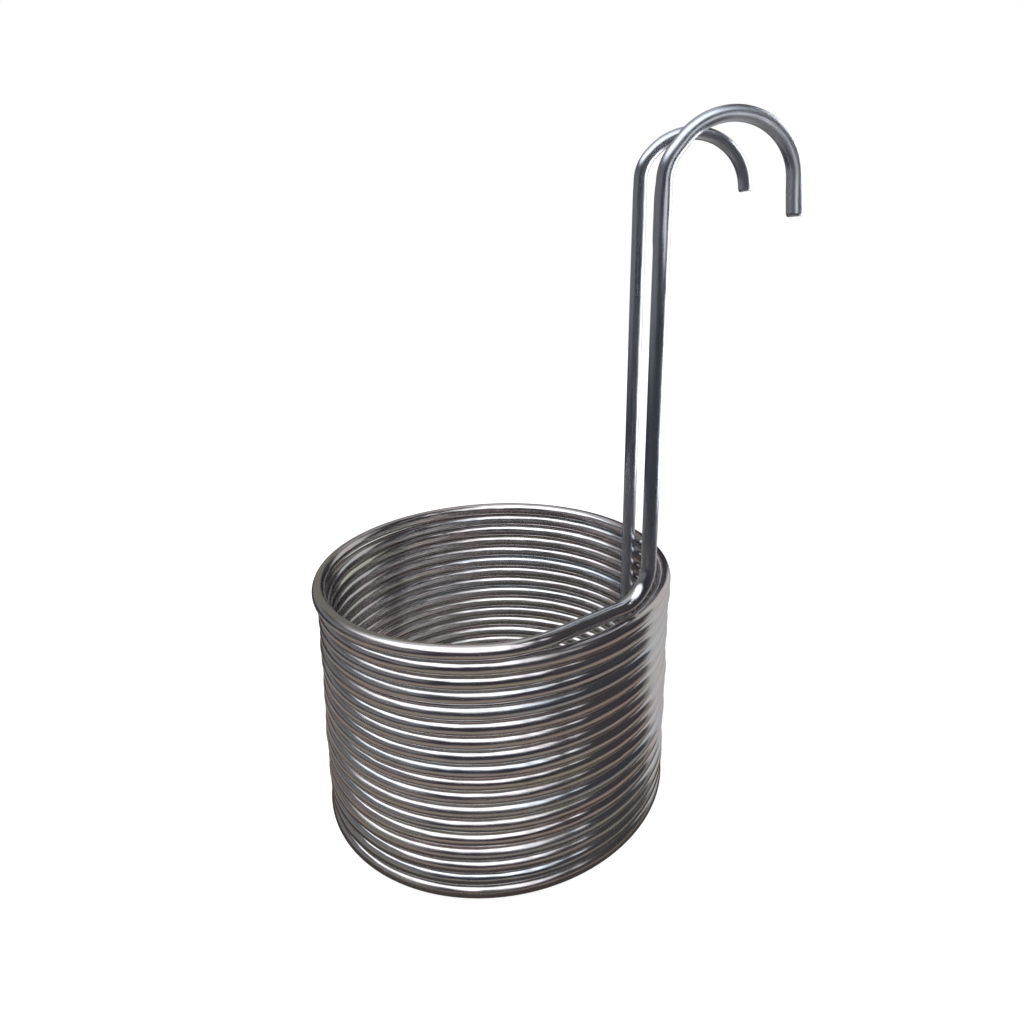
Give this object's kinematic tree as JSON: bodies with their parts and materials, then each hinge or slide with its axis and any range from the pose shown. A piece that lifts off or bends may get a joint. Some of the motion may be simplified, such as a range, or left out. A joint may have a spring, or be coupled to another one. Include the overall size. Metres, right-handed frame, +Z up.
{
  "type": "immersion wort chiller",
  "caption": "Close-wound stainless tube coil with two risers ending in rim hooks; cold water run through it cools hot wort in a kettle.",
  "frame": {"origin": "on the coil's axis, level with the underside of the bottom turn", "axes": "+Z up along the coil, +X from the coil's axis towards the risers, whose hooks open downwards on that side; +Y towards the riser that is fed from the bottom turn"},
  "size_m": [0.3201, 0.2497, 0.4694],
  "materials": {
    "bright_tube": "bright-annealed stainless tube, fine draw lines along it, semi-mirror"
  },
  "bodies": {
    "root": {"inlet_hose_end": "bright_tube", "inlet_hook": "bright_tube", "inlet_riser": "bright_tube", "inlet_elbow": "bright_tube", "top_crossover": "bright_tube", "top_inward_bend": "bright_tube", "coil_turn_18_front": "bright_tube", "coil_turn_18_back": "bright_tube", "coil_turn_17_front": "bright_tube", "coil_turn_17_back": "bright_tube", "coil_turn_16_front": "bright_tube", "coil_turn_16_back": "bright_tube", "coil_turn_15_front": "bright_tube", "coil_turn_15_back": "bright_tube", "coil_turn_14_front": "bright_tube", "coil_turn_14_back": "bright_tube", "coil_turn_13_front": "bright_tube", "coil_turn_13_back": "bright_tube", "coil_turn_12_front": "bright_tube", "coil_turn_12_back": "bright_tube", "coil_turn_11_front": "bright_tube", "coil_turn_11_back": "bright_tube", "coil_turn_10_front": "bright_tube", "coil_turn_10_back": "bright_tube", "coil_turn_09_front": "bright_tube", "coil_turn_09_back": "bright_tube", "coil_turn_08_front": "bright_tube", "coil_turn_08_back": "bright_tube", "coil_turn_07_front": "bright_tube", "coil_turn_07_back": "bright_tube", "coil_turn_06_front": "bright_tube", "coil_turn_06_back": "bright_tube", "coil_turn_05_front": "bright_tube", "coil_turn_05_back": "bright_tube", "coil_turn_04_front": "bright_tube", "coil_turn_04_back": "bright_tube", "coil_turn_03_front": "bright_tube", "coil_turn_03_back": "bright_tube", "coil_turn_02_front": "bright_tube", "coil_turn_02_back": "bright_tube", "coil_turn_01_front": "bright_tube", "coil_turn_01_back": "bright_tube", "bottom_inward_bend": "bright_tube", "bottom_crossover": "bright_tube", "outlet_elbow": "bright_tube", "outlet_riser": "bright_tube", "outlet_hook": "bright_tube", "outlet_hose_end": "bright_tube"}
  },
  "joints": []
}
